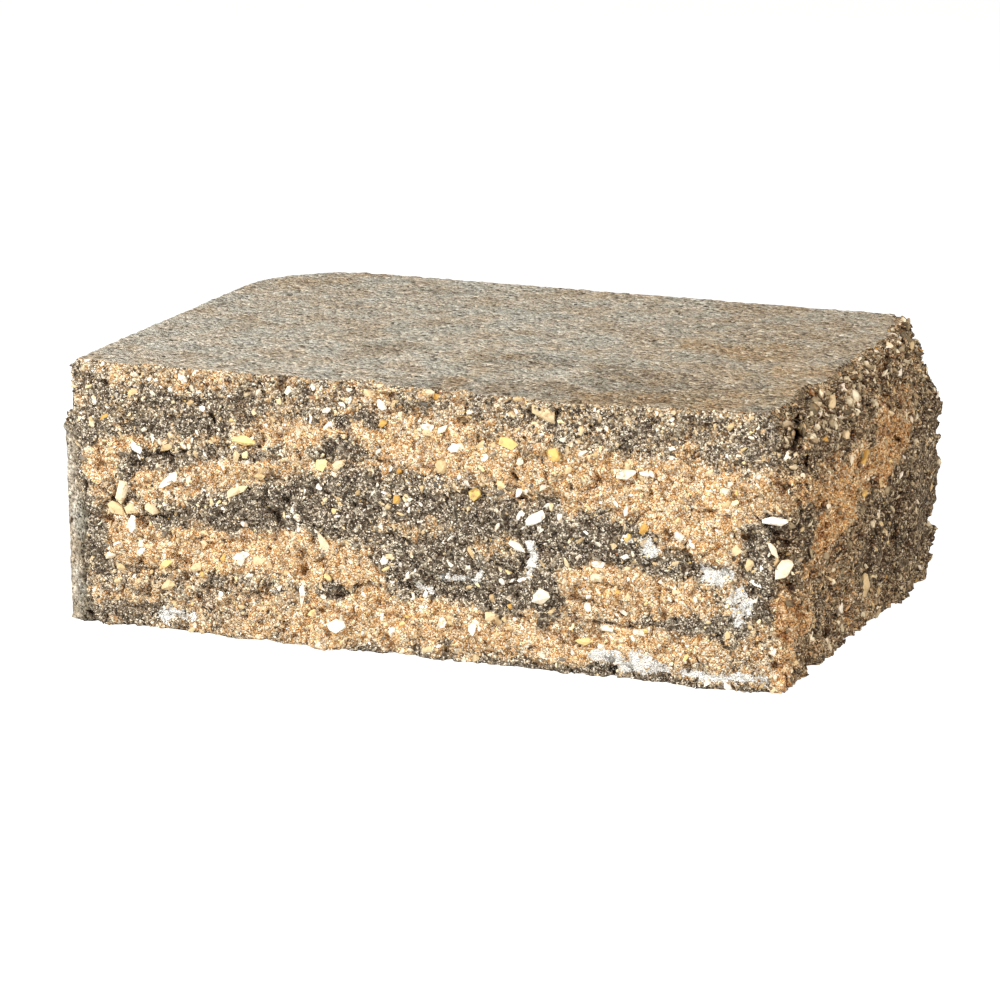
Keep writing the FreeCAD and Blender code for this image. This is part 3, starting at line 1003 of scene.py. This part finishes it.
def split_mortar():
    """Dry-cast concrete where it broke: sand grains bound by tan or charcoal cement.
    Each grain of about a millimetre takes one pigment or the other, so the bands mix."""
    # In millimetres. The dust is drawn coarser than cement dust is, so that it shows
    sand_size, dust_size, cloud_size = 1.05, 0.5, 6
    pale_dust_share, brown_dust_share = 0.14, 0.12
    pale_dust, brown_dust, lime_bloom = linear("FFF3DC"), linear("5C3C1E"), linear("FFFDF6")
    seam_shade, hollow_shade, end_tint = linear("80562F"), linear("9A7048"), linear("EEE0CE")

    material, tree = new_material("split_dry_cast_concrete")
    place = node(tree, "TexCoord").outputs["Object"]
    charcoal, tone, end_weight, bloom, hollow, crevice = (
        node(tree, "Attribute", attribute_name=name).outputs["Fac"]
        for name in ("charcoal", "tone", "end_weight", "bloom", "hollow", "crevice")
    )
    sand = node(tree, "TexVoronoi", Vector=place, Scale=per_mm(sand_size))
    seam = node(tree, "TexVoronoi", Vector=place, Scale=per_mm(sand_size), feature="DISTANCE_TO_EDGE")
    dust = node(tree, "TexVoronoi", Vector=place, Scale=per_mm(dust_size))
    luck = node(tree, "SeparateColor", sand.outputs["Color"]).outputs
    speck = node(tree, "SeparateColor", dust.outputs["Color"]).outputs
    cloud = node(tree, "TexNoise", Vector=place, Scale=per_mm(cloud_size), Detail=4.0)

    # A grain is dark where the charcoal share beats its own luck and the cloud's
    chance = node(tree, "Math", luck[0], 0.6, operation="MULTIPLY")
    chance = node(tree, "Math", cloud, 0.4, chance, operation="MULTIPLY_ADD")
    pick = node(tree, "Math", charcoal, chance, operation="SUBTRACT")
    dark = node(tree, "Math", pick, 4.0, 0.4, operation="MULTIPLY_ADD", use_clamp=True)
    tan_sand = node(
        tree, "ValToRGB", luck[1],
        stops=((0.0, "C08A50"), (0.3, "EABA80"), (0.65, "F9D8A4"), (1.0, "FFF4D8")),
    )
    drab_sand = node(
        tree, "ValToRGB", luck[1], stops=((0.0, "8C7453"), (0.4, "C2A984"), (1.0, "F4E6CA"))
    )
    dark_sand = node(
        tree, "ValToRGB", luck[1],
        stops=((0.0, "3A3126"), (0.4, "665B4B"), (0.8, "988C77"), (1.0, "D4C9B2")),
    )
    drab = node(tree, "Math", charcoal, 2.6, -0.6, operation="MULTIPLY_ADD", use_clamp=True)
    tan_sand = node(tree, "Mix", drab, tan_sand, drab_sand, data_type="RGBA")
    colour = node(tree, "Mix", dark, tan_sand, dark_sand, data_type="RGBA")

    # Pale and brown dust, a little less pale and more brown on the broken end
    is_pale = node(tree, "Math", speck[0], 1 - pale_dust_share, operation="GREATER_THAN")
    cover = node(tree, "Math", end_weight, -0.15, 0.85, operation="MULTIPLY_ADD")
    cover = node(tree, "Math", is_pale, cover, operation="MULTIPLY")
    colour = node(tree, "Mix", cover, colour, pale_dust, data_type="RGBA")
    is_brown = node(tree, "Math", speck[1], brown_dust_share, operation="LESS_THAN")
    cover = node(tree, "Math", end_weight, 0.1, 0.65, operation="MULTIPLY_ADD")
    cover = node(tree, "Math", is_brown, cover, operation="MULTIPLY")
    colour = node(tree, "Mix", cover, colour, brown_dust, data_type="RGBA")

    # Light and dark of each patch and grain of dust, then painted shade in the seams between the sand
    # grains
    tint = node(tree, "Math", tone, 0.36, 0.79, operation="MULTIPLY_ADD")
    tint = node(tree, "Math", speck[2], 0.36, tint, operation="MULTIPLY_ADD")
    tint = node(tree, "Math", end_weight, 0.06, tint, operation="MULTIPLY_ADD")
    tint = node(tree, "CombineColor", tint, tint, tint)
    colour = node(tree, "Mix", 1.0, colour, tint, data_type="RGBA", blend_type="MULTIPLY")
    gap = node(tree, "Math", seam, -6.5, 1.0, operation="MULTIPLY_ADD", use_clamp=True)
    deep = node(tree, "Math", luck[2], 1.2, -0.3, operation="MULTIPLY_ADD", use_clamp=True)
    gap = node(tree, "Math", gap, deep, operation="MULTIPLY")
    colour = node(tree, "Mix", gap, colour, seam_shade, data_type="RGBA", blend_type="MULTIPLY")

    # Painted shade in the hollows, deeper on the broken end, the browner end, white lime bloom grain
    # by grain, and painted shade in the crevices and the crack
    cover = node(tree, "Math", end_weight, 0.45, 0.45, operation="MULTIPLY_ADD")
    cover = node(tree, "Math", hollow, cover, operation="MULTIPLY")
    colour = node(tree, "Mix", cover, colour, hollow_shade, data_type="RGBA", blend_type="MULTIPLY")
    colour = node(tree, "Mix", end_weight, colour, end_tint, data_type="RGBA", blend_type="MULTIPLY")
    powder = node(tree, "Math", luck[2], 0.7, bloom, operation="MULTIPLY_ADD")
    powder = node(tree, "Math", speck[2], 0.4, powder, operation="MULTIPLY_ADD")
    powder = node(tree, "Math", powder, 7.0, -7.2, operation="MULTIPLY_ADD", use_clamp=True)
    colour = node(tree, "Mix", powder, colour, lime_bloom, data_type="RGBA")
    cover = node(tree, "Math", crevice, crevice_shade_cover, operation="MULTIPLY")
    colour = node(tree, "Mix", cover, colour, linear(crevice_shade), data_type="RGBA")

    # Height: sand grains of uneven height, sunk seams, and dust on top
    rough = node(tree, "Math", seam, 4.0, operation="MULTIPLY", use_clamp=True)
    rough = node(tree, "Math", rough, 0.5, operation="MULTIPLY")
    rough = node(tree, "Math", luck[2], 0.5, rough, operation="MULTIPLY_ADD")
    rough = node(tree, "Math", sand, -0.5, rough, operation="MULTIPLY_ADD")
    rough = node(tree, "Math", dust, -0.55, rough, operation="MULTIPLY_ADD")
    finish_surface(tree, colour, rough, height_mm=0.8, roughness=0.9)
    return material


def moulded_skin():
    """Cement skin pressed against the mould: taupe and gritty, with pores and pale sand."""
    # In millimetres. The dust is drawn coarser than cement dust is, so that it shows
    grit_size, sand_size, dust_size, fine_size = 1.2, 2.1, 0.6, 1.6
    hole_spacing, patch_size, mottle_size = 5, 12, 20
    pale_grit_share, dark_dust_share = 0.1, 0.22
    pale_grit, pore_shade, hole_shade = linear("FFF8E8"), linear("50432F"), linear("54462F")
    hollow_shade, dark_dust = linear("6E5840"), linear("6E6048")

    material, tree = new_material("moulded_cement_skin")
    place = node(tree, "TexCoord").outputs["Object"]
    soot_and_shade, rust, hollow, crevice = (
        node(tree, "Attribute", attribute_name=name).outputs["Fac"]
        for name in ("soot_and_shade", "rust", "hollow", "crevice")
    )
    grit = node(tree, "TexVoronoi", Vector=place, Scale=per_mm(grit_size))
    sand = node(tree, "TexVoronoi", Vector=place, Scale=per_mm(sand_size))
    dust = node(tree, "TexVoronoi", Vector=place, Scale=per_mm(dust_size))
    hole = node(tree, "TexVoronoi", Vector=place, Scale=per_mm(hole_spacing))
    fine = node(tree, "TexNoise", Vector=place, Scale=per_mm(fine_size), Detail=5.0, Roughness=0.7)
    patch = node(tree, "TexNoise", Vector=place, Scale=per_mm(patch_size), Detail=4.0)
    mottle = node(
        tree, "TexNoise", Vector=place, Scale=per_mm(mottle_size), Detail=6.0, Roughness=0.65
    )
    luck = node(tree, "SeparateColor", grit.outputs["Color"]).outputs
    chance = node(tree, "SeparateColor", sand.outputs["Color"]).outputs
    hole_luck = node(tree, "SeparateColor", hole.outputs["Color"]).outputs
    speck = node(tree, "SeparateColor", dust.outputs["Color"]).outputs

    # Fine and broad mottle of the cement
    colour = node(
        tree, "ValToRGB", fine, stops=((0.34, "8A8072"), (0.5, "DED5C5"), (0.62, "FFFDF6"))
    )
    broad = node(tree, "ValToRGB", mottle, stops=((0.35, "B0A898"), (0.65, "DCD6CA")))
    colour = node(tree, "Mix", 0.45, colour, broad, data_type="RGBA")

    # Dark stains, with painted shade along the side's notch, and rust-coloured stains, each in two
    # tones that change from grit to grit
    soot_and_shade_tones = node(tree, "ValToRGB", luck[2], stops=((0.0, "5E5546"), (1.0, "94896F")))
    cover = node(tree, "Math", soot_and_shade, 0.85, operation="MULTIPLY")
    colour = node(tree, "Mix", cover, colour, soot_and_shade_tones, data_type="RGBA")
    rusty = node(tree, "ValToRGB", luck[2], stops=((0.0, "A88658"), (1.0, "DABC92")))
    cover = node(tree, "Math", mottle, 0.1, operation="ADD")
    cover = node(tree, "Math", rust, cover, operation="MULTIPLY")
    colour = node(tree, "Mix", cover, colour, rusty, data_type="RGBA")

    # Light and dark of the sand grains under the skin, and pale grit
    spread = node(tree, "Math", soot_and_shade, 0.3, 0.5, operation="MULTIPLY_ADD")
    shade = node(tree, "Math", chance[0], 0.5, operation="SUBTRACT")
    shade = node(tree, "Math", shade, spread, 1.0, operation="MULTIPLY_ADD")
    shade = node(tree, "CombineColor", shade, shade, shade)
    colour = node(tree, "Mix", 1.0, colour, shade, data_type="RGBA", blend_type="MULTIPLY")
    is_pale = node(tree, "Math", luck[0], 1 - pale_grit_share, operation="GREATER_THAN")
    cover = node(tree, "Math", soot_and_shade, -0.6, 0.85, operation="MULTIPLY_ADD")
    cover = node(tree, "Math", is_pale, cover, operation="MULTIPLY")
    colour = node(tree, "Mix", cover, colour, pale_grit, data_type="RGBA")

    # Painted shade in pores of a grit's size, more of them in the dark stains and the painted shade
    # along the notch, and in rarer round holes
    pore_share = node(tree, "Math", soot_and_shade, 0.14, 0.07, operation="MULTIPLY_ADD")
    is_pore = node(tree, "Math", luck[1], pore_share, operation="LESS_THAN")
    cover = node(tree, "Math", is_pore, 0.65, operation="MULTIPLY")
    colour = node(tree, "Mix", cover, colour, pore_shade, data_type="RGBA")
    radius = node(tree, "Math", hole_luck[0], 0.4, -0.14, operation="MULTIPLY_ADD")
    inside = node(tree, "Math", radius, hole, operation="SUBTRACT")
    inside = node(tree, "Math", inside, 14.0, operation="MULTIPLY", use_clamp=True)
    cover = node(tree, "Math", inside, 0.75, operation="MULTIPLY")
    colour = node(tree, "Mix", cover, colour, hole_shade, data_type="RGBA")

    # Warm and cool patches, painted shade in the hollows, dark dust, and painted shade in the
    # crevices and the crack
    warmth = node(
        tree, "ValToRGB", patch, stops=((0.36, "EEE2D2"), (0.5, "FFFAF2"), (0.62, "F0F2F0"))
    )
    colour = node(tree, "Mix", 1.0, colour, warmth, data_type="RGBA", blend_type="MULTIPLY")
    cover = node(tree, "Math", hollow, 1.3, operation="MULTIPLY", use_clamp=True)
    colour = node(tree, "Mix", cover, colour, hollow_shade, data_type="RGBA", blend_type="MULTIPLY")
    is_dark = node(tree, "Math", speck[0], dark_dust_share, operation="LESS_THAN")
    cover = node(tree, "Math", soot_and_shade, 0.8, 0.35, operation="MULTIPLY_ADD")
    cover = node(tree, "Math", is_dark, cover, operation="MULTIPLY")
    colour = node(tree, "Mix", cover, colour, dark_dust, data_type="RGBA", blend_type="MULTIPLY")
    cover = node(tree, "Math", crevice, crevice_shade_cover, operation="MULTIPLY")
    colour = node(tree, "Mix", cover, colour, linear(crevice_shade), data_type="RGBA")

    # Height: fine mottle, sunk pores and holes, and grit and sand standing out
    rough = node(tree, "Math", is_pore, -0.8, fine, operation="MULTIPLY_ADD")
    rough = node(tree, "Math", inside, -1.2, rough, operation="MULTIPLY_ADD")
    rough = node(tree, "Math", grit, -0.6, rough, operation="MULTIPLY_ADD")
    rough = node(tree, "Math", sand, -0.8, rough, operation="MULTIPLY_ADD")
    finish_surface(tree, colour, rough, height_mm=1.3, roughness=0.88)
    return material


def crushed_stone(name, *stops):
    """Broken stone chip: one colour for each chip, finely grained, with mortar left on it."""
    vein_size, film_size = 1.8, 2.6
    mortar_film, end_chip_tint, hollow_shade = linear("B99A70"), linear("DCC096"), linear("8A7050")

    material, tree = new_material(name)
    place = node(tree, "TexCoord").outputs["Object"]
    tone, end_weight, hollow = (
        node(tree, "Attribute", attribute_name=name).outputs["Fac"]
        for name in ("tone", "end_weight", "hollow")
    )
    vein = node(tree, "TexNoise", Vector=place, Scale=per_mm(vein_size), Detail=4.0)
    film = node(tree, "TexNoise", Vector=place, Scale=per_mm(film_size), Detail=5.0)
    veined = node(tree, "Math", vein, 0.3, -0.15, operation="MULTIPLY_ADD")
    veined = node(tree, "Math", tone, veined, operation="ADD", use_clamp=True)
    colour = node(tree, "ValToRGB", veined, stops=stops)
    left_on = node(tree, "Math", film, 9.0, -5.0, operation="MULTIPLY_ADD", use_clamp=True)
    left_on = node(tree, "Math", left_on, 0.75, operation="MULTIPLY")
    colour = node(tree, "Mix", left_on, colour, mortar_film, data_type="RGBA")
    # Chips on the broken end are darker and browner
    cover = node(tree, "Math", end_weight, 0.35, operation="MULTIPLY")
    colour = node(tree, "Mix", cover, colour, end_chip_tint, data_type="RGBA", blend_type="MULTIPLY")
    # Painted shade in the hollows, round each stone's base
    cover = node(tree, "Math", hollow, 0.6, operation="MULTIPLY")
    colour = node(tree, "Mix", cover, colour, hollow_shade, data_type="RGBA", blend_type="MULTIPLY")
    rough = node(tree, "Math", left_on, 0.8, vein, operation="MULTIPLY_ADD")
    finish_surface(tree, colour, rough, height_mm=0.3, roughness=0.6)
    return material


def make_materials():
    """Both concretes and four stones: limestone breaks pale and chalky, flint the colour of
    honey, sandstone drab and basalt dark grey."""
    return {
        "mortar": split_mortar(),
        "skin": moulded_skin(),
        "pale": crushed_stone(
            "crushed_limestone", (0.0, "CFB282"), (0.4, "E8D2A8"), (0.75, "FFF8EA")
        ),
        "golden": crushed_stone(
            "golden_flint", (0.0, "CC9846"), (0.4, "E8C678"), (1.0, "F8EAB8")
        ),
        "drab": crushed_stone(
            "drab_sandstone", (0.0, "5E5340"), (0.5, "B8A888"), (1.0, "FFF6DC")
        ),
        "grey": crushed_stone(
            "grey_basalt", (0.0, "4A443C"), (0.5, "7C7467"), (0.85, "ADA391"), (1.0, "9A6040")
        ),
    }


# Light and surroundings

def add_light(name, place, power):
    """Lamp of a hand's width that points at the middle of the block."""
    data = bpy.data.lights.new(name, "AREA")
    data.size = 80 * mm
    data.energy = power
    light = bpy.data.objects.new(name, data)
    bpy.context.scene.collection.objects.link(light)
    light.location = place
    aim = Vector((0, 0, 50 * mm))
    light.rotation_euler = (aim - light.location).to_track_quat("-Z", "Y").to_euler()


def add_surroundings():
    """Pale floor and white background, and a soft key light from the upper left."""
    bpy.ops.object.select_all(action="DESELECT")
    bpy.ops.mesh.primitive_plane_add(size=12, location=(0, 0, 0))
    floor = bpy.context.object
    floor.name = "floor"
    material, tree = new_material("white_paper")
    matt = node(tree, "BsdfDiffuse", Color=linear("E6E6E6"))
    seen = node(tree, "BsdfDiffuse", Color=linear("A8A8A8"))
    glow = node(tree, "Emission", Color=linear("FFFFFF"), Strength=0.88)
    bright = node(tree, "AddShader", seen, glow)
    camera_sees = node(tree, "LightPath").outputs["Is Camera Ray"]
    shown = node(tree, "MixShader", camera_sees, matt, bright)
    node(tree, "OutputMaterial", shown)
    floor.data.materials.append(material)

    world = bpy.data.worlds.new("studio")
    bpy.context.scene.world = world
    world.use_nodes = True
    tree = world.node_tree
    tree.nodes.clear()
    soft = node(tree, "Background", Color=linear("FFF5E6"), Strength=0.2)
    white = node(tree, "Background", Color=linear("FFFFFF"), Strength=1.0)
    camera_sees = node(tree, "LightPath").outputs["Is Camera Ray"]
    shown = node(tree, "MixShader", camera_sees, soft, white)
    node(tree, "OutputWorld", shown)

    add_light("key", (-1.15, -1.15, 0.95), power=35.5)
    add_light("fill", (1.15, -1.0, 0.95), power=25)


# Assembly

add_camera()
materials = make_materials()
cast = weathered_cast_block()
cast.data.materials.clear()
cast.data.materials.append(materials["mortar"])
cast.data.materials.append(materials["skin"])
skin = stored(cast.data, "skin")
for face in cast.data.polygons:
    face.material_index = int(sum(skin[i] for i in face.vertices) > 0.5 * len(face.vertices))

for piece, material in add_stones(cast):
    piece.data.materials.append(materials[material])
    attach(piece, "root")

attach(cast, "root")
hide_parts("wall_block")
add_surroundings()
